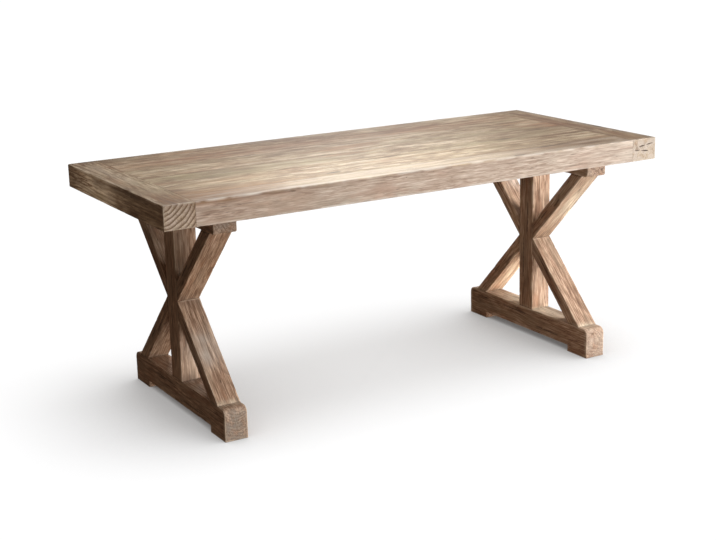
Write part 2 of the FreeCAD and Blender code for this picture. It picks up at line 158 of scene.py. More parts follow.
def graded(low, high, cell):
    """Places from low to high, about a cell apart and closer near both ends."""
    if high - low < 4 * EDGE_STEPS[-1]:
        return np.linspace(low, high, 3)
    count = max(2, math.ceil((high - low) / cell))
    inner = np.linspace(low + EDGE_STEPS[-1], high - EDGE_STEPS[-1], count)
    edges = [place for step in EDGE_STEPS[:-1] for place in (low + step, high - step)]
    return np.sort(np.concatenate([inner, edges]))


def corner_steps(radius):
    """How many samples the arc of a corner gets."""
    if radius < WORN_FROM:
        return SEAM_STEPS
    return ARRIS_STEPS if radius < ROUNDED_FROM else NOSE_STEPS


def left_of(runs):
    """Flat directions turned a quarter to the left."""
    return np.stack([-runs[..., 1], runs[..., 0]], axis=-1)


class Outline:
    """A polygon with rounded corners, sampled at the same places whatever its radii are."""

    def __init__(self, corners, radii, eases):
        corners, radii, eases = (np.array(values, float) for values in (corners, radii, eases))
        following = np.roll(corners, -1, axis=0)
        if np.sum(corners[:, 0] * following[:, 1] - following[:, 0] * corners[:, 1]) < 0:
            corners, radii, eases = corners[::-1], radii[::-1], np.roll(eases[::-1], -1)
        self.corners = corners
        run = np.roll(corners, -1, axis=0) - corners
        lengths = np.hypot(run[:, 0], run[:, 1])
        self.leaving = run / lengths[:, None]
        self.arriving = np.roll(self.leaving, 1, axis=0)
        cross = self.arriving[:, 0] * self.leaving[:, 1] - self.arriving[:, 1] * self.leaving[:, 0]
        self.turn = np.arctan2(cross, (self.arriving * self.leaving).sum(axis=1))
        self.slack = np.tan(np.abs(self.turn) / 2)
        room = CORNER_ROOM * np.minimum(lengths, np.roll(lengths, 1)) / self.slack
        self.radii = np.minimum(radii, room)
        self.most = np.minimum(self.radii * ARRIS_MOST, room)
        reach = self.most * self.slack
        rows = []
        for index, radius in enumerate(self.radii):
            for share in np.linspace(0, 1, corner_steps(radius)):
                rows.append((index, share, -1, 0.0, 0.0, min(eases[index - 1], eases[index])))
            after = (index + 1) % len(corners)
            low, high = reach[index], lengths[index] - reach[after]
            for place in graded(low, high, CELL):
                near = index if place - low < high - place else after
                rows.append((near, 0.0, index, place, min(place - low, high - place), eases[index]))
        near, self.share, edge, self.place, self.gap, self.ease = np.array(rows).T
        self.near = near.astype(int)
        self.edge = edge.astype(int)
        self.on_edge = self.edge >= 0
        self.worn = self.ease > WORN_FROM
        self.normals = self.outward()

    def outward(self):
        """The outward direction at each sample."""
        along = np.where(self.on_edge[:, None], self.leaving[self.edge], self.arriving[self.near])
        inward = left_of(along)
        angle = np.where(self.on_edge, 0.0, self.share * self.turn[self.near])[:, None]
        return along * np.sin(angle) - inward * np.cos(angle)

    def at(self, radii):
        """The sampled loop for each row of corner radii."""
        radius = radii[:, self.near, None]
        along = self.arriving[self.near]
        inward = left_of(along)
        turn = self.turn[self.near, None]
        side = np.sign(turn)
        start = self.corners[self.near] - along * radius * self.slack[self.near, None]
        middle = start + inward * radius * side
        angle = self.share[:, None] * np.abs(turn)
        arc = middle + radius * (along * np.sin(angle) - inward * np.cos(angle) * side)
        straight = self.corners[self.edge] + self.leaving[self.edge] * self.place[:, None]
        return np.where(self.on_edge[:, None], straight, arc)


def inside(points, ring):
    """Whether each point lies inside a closed ring."""
    found = np.zeros(len(points), bool)
    for start, end in zip(ring, np.roll(ring, -1, axis=0)):
        spans = (start[1] > points[:, 1]) != (end[1] > points[:, 1])
        with np.errstate(divide="ignore", invalid="ignore"):
            crossing = start[0] + (points[:, 1] - start[1]) * (end[0] - start[0]) / (end[1] - start[1])
        found ^= spans & (points[:, 0] < crossing)
    return found


def nearest(points, others):
    """How far each point is from the nearest of the others, and which that is."""
    apart = np.hypot(points[:, None, 0] - others[None, :, 0], points[:, None, 1] - others[None, :, 1])
    index = apart.argmin(axis=1)
    return apart[np.arange(len(points)), index], index


def check_lines(check):
    """A drying crack as its tips, its deep middle line and its two lips."""
    path, width, depth = check
    path = np.array(path, float)
    run = np.gradient(path, axis=0)
    run /= np.hypot(run[:, 0], run[:, 1])[:, None]
    across = left_of(run)
    open_share = np.sin(np.linspace(0, math.pi, len(path)))
    lips = across[1:-1] * (width / 2 * open_share[1:-1])[:, None]
    middle = path[1:-1]
    return path[[0, -1]], middle, middle + lips, middle - lips, depth * open_share[1:-1]


def fill_cap(ring, cell, checks):
    """A row for each point added inside a ring (place, depth, dirt, lip), and the triangles that fill it."""
    spans = zip(ring.min(axis=0), ring.max(axis=0))
    grid = np.meshgrid(*[np.arange(low + cell / 2, high, cell) for low, high in spans])
    points = np.stack(grid, axis=-1).reshape(-1, 2)
    points = points[inside(points, ring)]
    points = points[nearest(points, ring)[0] > RING_ROOM * cell]
    count = len(ring)
    edges = [(index, (index + 1) % count) for index in range(count)]
    rows = []
    for check in checks:
        tips, middle, left, right, depth = check_lines(check)
        lines = np.concatenate([tips, middle, left, right])
        points = points[nearest(points, lines)[0] > CRACK_ROOM * cell]
        first = count + sum(len(block) for block in rows)
        size = len(middle)
        for line in range(3):
            start = first + 2 + line * size
            chain = [first, *range(start, start + size), first + 1]
            edges += list(zip(chain[:-1], chain[1:]))
        parts = [2, size, 2 * size]
        dirt = np.repeat([TIP_DIRT, DEEP_DIRT, LIP_DIRT], parts)
        lips = np.repeat([1, 0, 1], parts)
        rows.append(np.column_stack([lines, np.pad(depth, (2, 2 * size)), dirt, lips]))
    rows = np.concatenate([*rows, np.pad(points, ((0, 0), (0, 3)))])
    corners = [Vector(point) for point in np.concatenate([ring, rows[:, :2]])]
    result = delaunay_2d_cdt(corners, edges, [], 1, WELD)
    source = [origin[0] for origin in result[3]]
    faces = [[source[index] for index in face] for face in result[2]]
    return rows, faces


def waver(places, seed, chip):
    """How much an arris is worn along its length: 1 on average, with a chip here and there."""
    spots = np.asarray(places)[:, None]
    chips = np.clip(noise(spots, CHIP_SIZE, seed + len(ARRIS_WAVES)) - CHIP_FROM, 0, 1)
    return 1 + ARRIS_WAVER * waves(spots, ARRIS_WAVES, seed) + chip * chips * CHIP_DEPTH


def worn_radii(outline, stations, seed):
    """The radius of each corner at each station along a timber."""
    radii = [radius * waver(stations, seed + CORNER_SEED * index, float(radius > WORN_FROM))
             for index, radius in enumerate(outline.radii)]
    return np.clip(np.stack(radii, axis=1), ARRIS_LEAST * outline.radii, outline.most)


def rounded_end(outline, loop, radii, place, sign, widest, wear):
    """Layers of points, and the way each faces, that round a timber's sides over to one end."""
    limit = CORNER_EASE * radii[outline.near] + GAP_EASE * outline.gap
    convex = outline.turn[outline.near] > 0
    ease = np.clip(outline.ease * wear, 0, np.where(convex, np.minimum(limit, widest), widest))
    layers = []
    for step in range(END_STEPS + 1):
        angle = math.pi / 2 * step / END_STEPS
        flat = loop - outline.normals * (ease * (1 - math.cos(angle)))[:, None]
        height = place - sign * ease * (1 - math.sin(angle))
        direction = np.full(len(ease), sign * math.sin(angle))
        facing = np.column_stack([outline.normals * math.cos(angle), direction])
        layers.append((np.column_stack([flat, height]), facing))
    return layers


def edge_marks(outline, points, span):
    """How rubbed each point is by a worn arris close by, which also paints a highlight along the edge, and
    how dirty by a seam.
    """
    from_end = np.minimum(points[:, :, 2] - span[0], span[1] - points[:, :, 2])
    end_fade = np.exp(-np.clip(from_end - outline.ease, 0, None) / WEAR_REACH)
    corner_fade = np.exp(-outline.gap / WEAR_REACH)
    handled = (outline.radii > WORN_FROM) & (outline.radii < ROUNDED_FROM)
    tight = outline.radii <= WORN_FROM
    wear = np.maximum(corner_fade * handled[outline.near], end_fade * outline.worn)
    seam = np.maximum(corner_fade * tight[outline.near], end_fade * ~outline.worn)
    return wear, seam


def end_cap(outline, ring, place, sign, cell, checks):
    """What is known of the points inside one end of a timber, and the triangles that fill it."""
    rows, triangles = fill_cap(ring, cell, checks)
    added, (depth, dirt, lip) = rows[:, :2], rows[:, 2:].T
    distance, which = nearest(added, ring)
    fade = np.exp(-distance / WEAR_REACH)
    known = {
        "points": np.column_stack([added, np.full(len(added), place)]),
        "facing": np.tile([0.0, 0.0, float(sign)], (len(added), 1)),
        "wear": fade * outline.worn[which],
        "seam": np.maximum(dirt, fade * ~outline.worn[which]),
        "depth": depth,
        "lip": lip > 0,
    }
    return known, triangles


def prism(name, outline, span, order, seed, cap_cell=CELL, checks=((), ())):
    """A timber of one outline, with worn arrises: its faces, its points and what is known of each."""
    widest = min(outline.ease.max() * ARRIS_MOST, END_ROOM * (span[1] - span[0]))
    stations = graded(span[0] + widest + SEAM, span[1] - widest - SEAM, CELL)
    radii = worn_radii(outline, stations, seed)
    loops = outline.at(radii)
    travel = np.cumsum(np.hypot(*np.diff(loops[0], axis=0, append=loops[0][:1]).T))
    ends = []
    for end, sign in ((0, -1), (-1, 1)):
        wear = waver(travel, seed + END_SEED + end, 1.0) ** outline.worn
        ends.append(rounded_end(outline, loops[end], radii[end], span[end], sign, widest, wear))
    outward = np.column_stack([outline.normals, np.zeros(len(outline.normals))])
    walls = [(np.column_stack([loop, np.full(len(loop), place)]), outward)
             for loop, place in zip(loops, stations)]
    points, facing = (np.stack(layers) for layers in zip(*ends[0][::-1], *walls, *ends[1]))
    count, size = points.shape[:2]
    index = np.arange(count * size).reshape(count, size)
    after = np.roll(index, -1, axis=1)
    faces = np.stack([index[:-1], after[:-1], after[1:], index[1:]], axis=-1).reshape(-1, 4).tolist()
    wear, seam = edge_marks(outline, points, span)
    total = count * size
    blocks = [{
        "points": points.reshape(-1, 3),
        "facing": facing.reshape(-1, 3),
        "wear": wear.ravel(),
        "seam": seam.ravel(),
        "depth": np.zeros(total),
        "lip": np.zeros(total, bool),
    }]
    for end, sign in ((0, -1), (-1, 1)):
        known, triangles = end_cap(outline, points[end, :, :2], span[end], sign, cap_cell, checks[end])
        added = len(known["points"])
        mapped = np.concatenate([index[end], np.arange(total, total + added)])
        for triangle in triangles:
            corners = [int(mapped[corner]) for corner in triangle]
            faces.append(corners if sign > 0 else corners[::-1])
        blocks.append(known)
        total += added
    shape = {key: np.concatenate([block[key] for block in blocks]) for key in blocks[0]}
    axes = [order.index(axis) for axis in "xyz"]
    for key in ("points", "facing"):
        shape[key] = shape[key][:, axes]
    return {"name": name, "faces": faces, **shape}


def grain_frame(direction):
    """Three axes for timber whose fibres run in a direction: along it, and two across it."""
    along = np.array(direction, float) / np.linalg.norm(direction)
    across = np.cross(Z if abs(along[2]) < 0.9 else X, along)
    across /= np.linalg.norm(across)
    return np.stack([along, across, np.cross(along, across)])


def stain_and_light_tint(points, stains_and_painted_light, seed):
    """The colour and cover that stains and patches of painted light and shade lay over each point, later ones
    over earlier ones.
    """
    tint = np.zeros((len(points), 4))
    ragged = STAIN_AND_LIGHT_RAGGED * noise(points, STAIN_AND_LIGHT_GRAIN, seed)[:, None]
    for colour, place, size, strength in stains_and_painted_light:
        away = (points - np.array([*place, TOP][:3])) / np.array(size) + ragged
        cover = strength * np.exp(-(away ** 2).sum(axis=1))[:, None]
        kept = tint[:, 3:] * (1 - cover)
        tint[:, :3] = (np.array(colour[:3]) * cover + tint[:, :3] * kept) / np.maximum(cover + kept, 1e-9)
        tint[:, 3:] = cover + kept
    return tint


def new_object(name, data):
    """A new object in the scene."""
    item = bpy.data.objects.new(name, data)
    bpy.context.scene.collection.objects.link(item)
    return item


def store(mesh, label, kind, field, values):
    """Keep a value for each point of a mesh."""
    layer = mesh.attributes.new(label, kind, "POINT")
    layer.data.foreach_set(field, values.astype(np.float32).ravel())


def finish_piece(shape, node, material, direction, pith, seed, stains_and_painted_light):
    """Turn a shaped timber into a mesh piece that stands for a node."""
    axes = grain_frame(direction)
    grain = (shape["points"] - np.array(pith)) @ axes.T
    swell = waves(grain, SWELL_WAVES, seed + SWELL_SEED)
    sunk = SURFACE_SWELL * (0.5 + 0.5 * swell) + shape["depth"]
    points = shape["points"] - shape["facing"] * sunk[:, None]
    mesh = bpy.data.meshes.new(shape["name"])
    mesh.from_pydata(points.tolist(), [], shape["faces"])
    mesh.shade_smooth()
    edges = np.empty(2 * len(mesh.edges), np.int32)
    mesh.edges.foreach_get("vertices", edges)
    sharp = shape["lip"][edges.reshape(-1, 2)].all(axis=1)
    mesh.attributes.new("sharp_edge", "BOOLEAN", "EDGE").data.foreach_set("value", sharp)
    end = np.clip(np.abs(shape["facing"] @ axes[0]) * (1 + END_GRAIN_FROM) - END_GRAIN_FROM, 0, 1)
    for label, values in (("wear", shape["wear"]), ("seam", shape["seam"]), ("end", end)):
        store(mesh, label, "FLOAT", "value", values)
    store(mesh, "grain", "FLOAT_VECTOR", "vector", grain)
    store(mesh, "tint", "FLOAT_COLOR", "color", stain_and_light_tint(shape["points"], stains_and_painted_light, seed + STAIN_AND_LIGHT_SEED))
    mesh.materials.append(material)
    piece = new_object(shape["name"], mesh)
    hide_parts(node)
    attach(piece, "root")


def paint(red, green, blue):
    """A colour's 0-255 values as the shader's light values."""
    shares = np.array([red, green, blue]) / 255
    light = np.where(shares <= 0.04045, shares / 12.92, ((shares + 0.055) / 1.055) ** 2.4)
    return (*light.tolist(), 1.0)


class Graph:
    """The node tree of a material or a world, with short calls for its nodes."""

    def __init__(self, owner):
        owner.use_nodes = True
        self.owner = owner
        self.tree = owner.node_tree
        self.shader = self.tree.nodes.get("Principled BSDF")

    def set(self, socket, value):
        """Link a socket to another one, or give it a plain value."""
        if isinstance(value, bpy.types.NodeSocket):
            self.tree.links.new(value, socket)
        else:
            socket.default_value = value

    def add(self, kind, inputs=(), **settings):
        """A node with some settings and inputs."""
        node = self.tree.nodes.new(kind)
        for key, value in settings.items():
            setattr(node, key, value)
        self.fill(node, inputs)
        return node

    def fill(self, node, inputs):
        """Link or set some inputs of a node."""
        for key, value in dict(inputs).items():
            self.set(node.inputs[key], value)

    def math(self, operation, *values):
        """A sum of plain numbers."""
        return self.add("ShaderNodeMath", enumerate(values), operation=operation).outputs[0]

    def scale_add(self, value, scale, added):
        """A value times a scale, plus another."""
        return self.math("MULTIPLY_ADD", value, scale, added)

    def vector(self, operation, *values, output=0):
        """A sum of vectors."""
        return self.add("ShaderNodeVectorMath", enumerate(values), operation=operation).outputs[output]

    def attribute(self, label, output="Fac"):
        """A value stored on the mesh."""
        return self.add("ShaderNodeAttribute", attribute_name=label).outputs[output]

    def noise(self, place, detail=2.0, output="Fac"):
        """Noise about one unit in size, with finer and finer detail."""
        inputs = {"Vector": place, "Scale": 1.0, "Detail": detail, "Roughness": 0.62}
        return self.add("ShaderNodeTexNoise", inputs).outputs[output]

    def fit(self, value, low, high, start=0.0, end=1.0):
        """A value eased from one range to another."""
        inputs = {"Value": value, "From Min": low, "From Max": high, "To Min": start, "To Max": end}
        return self.add("ShaderNodeMapRange", inputs, interpolation_type="SMOOTHSTEP").outputs["Result"]

    def mix(self, share, first, second, blend="MIX"):
        """One colour laid over another."""
        node = self.add("ShaderNodeMix", data_type="RGBA", blend_type=blend)
        for socket, value in zip((node.inputs[0], node.inputs[6], node.inputs[7]), (share, first, second)):
            self.set(socket, value)
        return node.outputs[2]

    def scaled(self, colour, share):
        """A colour made lighter or darker."""
        return self.add("ShaderNodeVectorMath", {0: colour, "Scale": share}, operation="SCALE").outputs[0]


class Timber(Graph):
    """The node tree of one weathered timber, worked out from each point's place in its log."""

    SEED_STEPS = (0.37, 0.73, 0.19)
    END_PORES = 0.25
    INNER_STOPS = (0.36, 0.64)

    def __init__(self, name, palette, seed, fibres=None):
        super().__init__(bpy.data.materials.new(name))
        self.palette = palette
        self.shaped = fibres is None
        if self.shaped:
            self.grain = self.attribute("grain", "Vector")
            self.end = self.attribute("end")
        else:
            place = self.add("ShaderNodeTexCoord").outputs["Object"]
            inputs = {"Vector": place, "Location": fibres[0], "Rotation": fibres[1]}
            self.grain = self.add("ShaderNodeMapping", inputs).outputs[0]
            self.end = 0.0
        self.own = self.vector("ADD", self.grain, tuple(step * seed for step in self.SEED_STEPS))

    def stretched(self, length, width):
        """The place in the timber, in lengths along its fibres and widths across them."""
        return self.vector("MULTIPLY", self.own, (1 / length, 1 / width, 1 / width))

    def along(self, length, width, detail=2.0, output="Fac"):
        """Noise drawn out along the fibres."""
        return self.noise(self.stretched(length, width), detail, output)

    def year_rings(self, ring, wobble):
        """The dark late wood of the rings round the pith, bent by knots and by a swaying trunk."""
        cells = self.add("ShaderNodeTexVoronoi", {"Vector": self.stretched(0.42, 0.13), "Scale": 1.0})
        self.knot = cells.outputs["Distance"]
        sway = self.vector("SUBTRACT", self.along(0.5, 0.16, 2.0, "Color"), (0.5, 0.5, 0.5))
        bent = self.vector("MULTIPLY_ADD", sway, (0.0, 0.08 * wobble, 0.08 * wobble), self.grain)
        radius = self.vector("LENGTH", self.vector("MULTIPLY", bent, (0.0, 1.0, 1.0)), output="Value")
        years = self.scale_add(self.along(0.12, 0.02), wobble, self.math("DIVIDE", radius, ring))
        years = self.scale_add(self.fit(self.knot, 0.0, 0.5, 1.0, 0.0), 3.0, years)
        year = self.math("FRACT", years)
        late = self.math("MULTIPLY", self.fit(year, 0.2, 0.9), self.fit(year, 0.9, 1.0, 1.0, 0.0))
        bold = self.fit(self.along(0.4, 0.045), 0.38, 0.66, 0.12, 1.0)
        return self.math("MULTIPLY", late, self.math("MAXIMUM", bold, self.end))

    def tones(self, contrast, spread, reach):
        """The ground colour: patches, soft streaks and fine fibres, with cooler and warmer zones."""
        self.streak = self.along(0.15 * spread * reach, 0.012 * spread, 5.0)
        self.fibre = self.along(0.06, 0.0036, 4.0)
        patch = self.along(0.2 * spread, 0.075 * spread, 5.0)
        mottle = self.along(0.045 * spread * reach, 0.014 * spread, 5.0)
        tone = self.scale_add(self.streak, 0.3, self.math("MULTIPLY", patch, 0.32))
        tone = self.scale_add(mottle, 0.38, tone)
        tone = self.scale_add(self.math("SUBTRACT", tone, 0.5), contrast, 0.5)
        tone = self.scale_add(self.math("SUBTRACT", self.fibre, 0.5), 1.9, tone)
        ramp = self.add("ShaderNodeValToRGB", {"Fac": tone})
        stops = ramp.color_ramp.elements
        for place in self.INNER_STOPS:
            stops.new(place)
        for stop, label in zip(stops, ("deep", "mid", "fair", "pale")):
            stop.color = self.palette[label]
        cool = self.fit(self.along(0.3 * spread, 0.07 * spread, 4.0), 0.46, 0.7, 0.0, 0.75)
        warm = self.fit(self.along(0.22 * spread, 0.045 * spread, 4.0), 0.5, 0.72, 0.0, 0.8)
        colour = self.mix(cool, ramp.outputs["Color"], self.palette["cool"])
        return self.mix(warm, colour, self.palette["warm"])

    def pores(self, spread, strength):
        """Short dark grain lines, thick in some zones and thin in others, and few on end grain."""
        dense = self.fit(self.along(0.25 * spread, 0.06 * spread), 0.38, 0.62, 0.25, 1.0)
        fine = self.fit(self.along(0.06, 0.0032), 0.54, 0.64)
        bold = self.fit(self.along(0.06 * spread, 0.006 * spread, 3.0), 0.54, 0.64)
        dashes = self.math("MULTIPLY", dense, self.math("MAXIMUM", fine, bold))
        shown = self.scale_add(self.end, (self.END_PORES - 1) * strength, strength)
        return self.math("MULTIPLY", dashes, shown)

    def blemishes(self):
        """Knots, flecks, drying cracks and old nail holes."""
        vein = self.math("ABSOLUTE", self.math("SUBTRACT", self.along(0.55, 0.03, 1.0), 0.5))
        split = self.fit(self.along(0.25, 0.12), 0.55, 0.66)
        crack = self.math("MULTIPLY", self.fit(vein, 0.0, 0.012, 0.7, 0.0), split)
        fleck = self.fit(self.along(0.04, 0.0045, 1.0), 0.7, 0.76, 0.0, 0.6)
        holes = self.add("ShaderNodeTexVoronoi", {"Vector": self.own, "Scale": 13.0}).outputs["Distance"]
        marks = self.math("MAXIMUM", self.fit(self.knot, 0.045, 0.075, 0.75, 0.0), crack)
        marks = self.math("MAXIMUM", marks, fleck)
        return self.math("MAXIMUM", marks, self.fit(holes, 0.014, 0.026, 0.85, 0.0))

    def apply_stains_and_light(self, colour):
        """Stains and patches of painted light and shade that follow the fibres and let the streaks show
        through.
        """
        tint = self.add("ShaderNodeAttribute", attribute_name="tint")
        ragged = self.fit(self.along(0.16, 0.022, 3.0), 0.32, 0.6, 0.4, 1.15)
        shade = self.fit(self.streak, 0.32, 0.68, 0.72, 1.28)
        shade = self.scale_add(self.end, self.math("SUBTRACT", 1.0, shade), shade)
        cover = self.math("MULTIPLY", tint.outputs["Alpha"], ragged)
        return self.mix(cover, colour, self.scaled(tint.outputs["Color"], shade))

    def worn(self, colour, most, dirt):
        """Pale rubbed arrises, worn and also a painted highlight along the edges, and dirt in seams and
        cracks.
        """
        rub_and_highlight = self.fit(self.along(0.08, 0.08), 0.4, 0.66, 0.0, most)
        # The pale worn arris also serves as a painted highlight along the edge
        colour = self.mix(self.math("MULTIPLY", self.attribute("wear"), rub_and_highlight), colour, self.palette["bleach"])
        seam = self.attribute("seam")
        colour = self.mix(self.fit(seam, 0.35, 1.0, 0.0, dirt), colour, self.palette["mark"])
        return self.mix(self.fit(seam, 0.8, 1.6, 0.0, 0.85), colour, self.palette["mark"])


def weathered_wood(name, palette, seed, ring=0.01, figure=0.5, end_figure=0.7, wobble=0.6,
                   contrast=3.6, spread=1.0, reach=1.0, pores=0.55, rub_and_highlight=0.5, seam=0.45,
                   gloss=0.5, specular=0.25, fibres=None):
    """Solid timber with year rings, knots, streaks, stains and painted light and shade, worn edges that are
    also a painted highlight, and dark seams.
    """
    wood = Timber(name, palette, seed, fibres)
    late = wood.year_rings(ring, wobble)
    colour = wood.tones(contrast, spread, reach)
    if wood.shaped:
        colour = wood.apply_stains_and_light(colour)
    strength = wood.scale_add(wood.end, end_figure - figure, figure)
    colour = wood.mix(wood.math("MULTIPLY", late, strength), colour, palette["ring"])
    colour = wood.mix(wood.pores(spread, pores), colour, palette["ring"])
    marks = wood.blemishes()
    colour = wood.mix(marks, colour, palette["mark"])
    if wood.shaped:
        colour = wood.worn(colour, rub_and_highlight, seam)
    shade = wood.scale_add(wood.end, -0.08, wood.fit(wood.fibre, 0.25, 0.75, 0.86, 1.12))
    polish = wood.scale_add(wood.streak, -0.3, gloss + 0.15)
    polish = wood.scale_add(wood.fibre, 0.25, wood.math("ADD", polish, -0.125))
    height = wood.scale_add(late, 0.45, wood.fibre)
    height = wood.scale_add(marks, -1.2, wood.scale_add(wood.streak, 0.5, height))
    bump = wood.add("ShaderNodeBump", {"Height": height, "Strength": 0.6, "Distance": 0.0007})
    wood.fill(wood.shader, {
        "Base Color": wood.scaled(colour, shade),
        "Roughness": wood.scale_add(wood.end, 0.18, polish),
        "Specular IOR Level": specular,
        "Normal": bump.outputs[0],
    })
    return wood.owner


def zinc_steel(name, seed):
    """Bright-plated steel gone dull, with a cloudy bloom and fine scratches."""
    graph = Graph(bpy.data.materials.new(name))
    place = graph.add("ShaderNodeTexCoord").outputs["Object"]
    own = graph.vector("ADD", place, (seed, 2.0 * seed, 3.0 * seed))
    bloom = graph.noise(graph.vector("MULTIPLY", own, (190.0, 190.0, 190.0)), 4.0)
    scratch = graph.noise(graph.vector("MULTIPLY", own, (90.0, 90.0, 2600.0)), 1.0)
    colour = graph.mix(graph.fit(bloom, 0.35, 0.7), paint(176, 178, 178), paint(128, 126, 120))
    colour = graph.mix(graph.fit(bloom, 0.68, 0.8, 0.0, 0.6), colour, paint(120, 84, 58))
    bump = graph.add("ShaderNodeBump", {"Height": scratch, "Strength": 0.3, "Distance": 0.0001})
    graph.fill(graph.shader, {
        "Base Color": colour,
        "Roughness": graph.scale_add(bloom, 0.4, 0.22),
        "Metallic": 0.9,
        "Normal": bump.outputs[0],
    })
    return graph.owner


def shades(**colours):
    """The colours of a timber, by name."""
    return {label: paint(*colour) for label, colour in colours.items()}


TOP_PALETTE = shades(
    deep=(108, 82, 58), mid=(158, 134, 105), fair=(184, 163, 134), pale=(210, 193, 167),
    cool=(156, 142, 111), warm=(166, 128, 97), ring=(112, 86, 64), mark=(62, 45, 33),
    bleach=(212, 197, 176),
)
RAIL_PALETTE = shades(
    deep=(150, 127, 109), mid=(180, 159, 141), fair=(196, 177, 160), pale=(212, 196, 181),
    cool=(180, 167, 150), warm=(188, 158, 138), ring=(138, 112, 93), mark=(78, 58, 46),
    bleach=(222, 210, 197),
)
LEG_PALETTE = shades(
    deep=(72, 50, 36), mid=(130, 102, 82), fair=(164, 137, 115), pale=(196, 172, 149),
    cool=(138, 120, 101), warm=(142, 103, 78), ring=(88, 64, 48), mark=(40, 28, 20),
    bleach=(204, 184, 162),
)


def tinted(palette, red, green, blue):
    """A palette with its light values shifted."""
    shift = (red, green, blue, 1.0)
    return {label: np.multiply(colour, shift).tolist() for label, colour in palette.items()}


def rectangle(low, high):
    """The corners of a rectangle, from the lowest one round."""
    return [(low[0], low[1]), (high[0], low[1]), (high[0], high[1]), (low[0], high[1])]


def meander(start, end, steps, drift, seed):
    """A wandering line between two points of a face."""
    share = np.linspace(0, 1, steps)[:, None]
    line = np.array(start) * (1 - share) + np.array(end) * share
    run = np.array(end) - np.array(start)
    across = left_of(run) / np.hypot(*run)
    return line + across * (drift * np.sin(share * math.pi) * noise(share, 0.4, seed)[:, None])


# Drying cracks in the sides of the trestles: start and end along a member, and place across it
CHECK_PLACES = ((0.24, 0.46, -0.17), (0.52, 0.7, 0.12))
CHECK_SHIFT = 0.06
CHECK_STEPS = 11
CHECK_DRIFT = 0.0015
CHECK_WIDTH = 0.0016
CHECK_DEPTH = 0.003

# The pith of each plank from the middle of its face, and how the top differs from other wood
PLANK_PITHS = ((0.0, 0.03, -0.09), (0.0, -0.04, 0.1), (0.0, 0.05, -0.12), (0.0, -0.02, 0.08))
TOP_LOOKS = {
    "ring": 0.014, "figure": 0.6, "contrast": 5.4, "spread": 2.0, "pores": 0.9,
    # Pale worn arrises here also serve as a painted highlight along the edges
    "rub_and_highlight": 0.6, "seam": 0.12, "gloss": 0.44, "specular": 0.4,
}

# How light each trestle's timber is, the right trestle's back braces lighter still as painted light, and how
# it differs from other wood
LEG_TONES = {"left": 1.15, "right": 1.1}
BACK_RIGHT_PAINTED_LIGHT_TONE = 1.3
TONE_STEP = 0.04
LEG_LOOKS = {
    "left": {"contrast": 2.2, "pores": 0.35, "rub_and_highlight": 0.5},
    "right": {"contrast": 2.1, "pores": 0.3, "rub_and_highlight": 0.6},
}
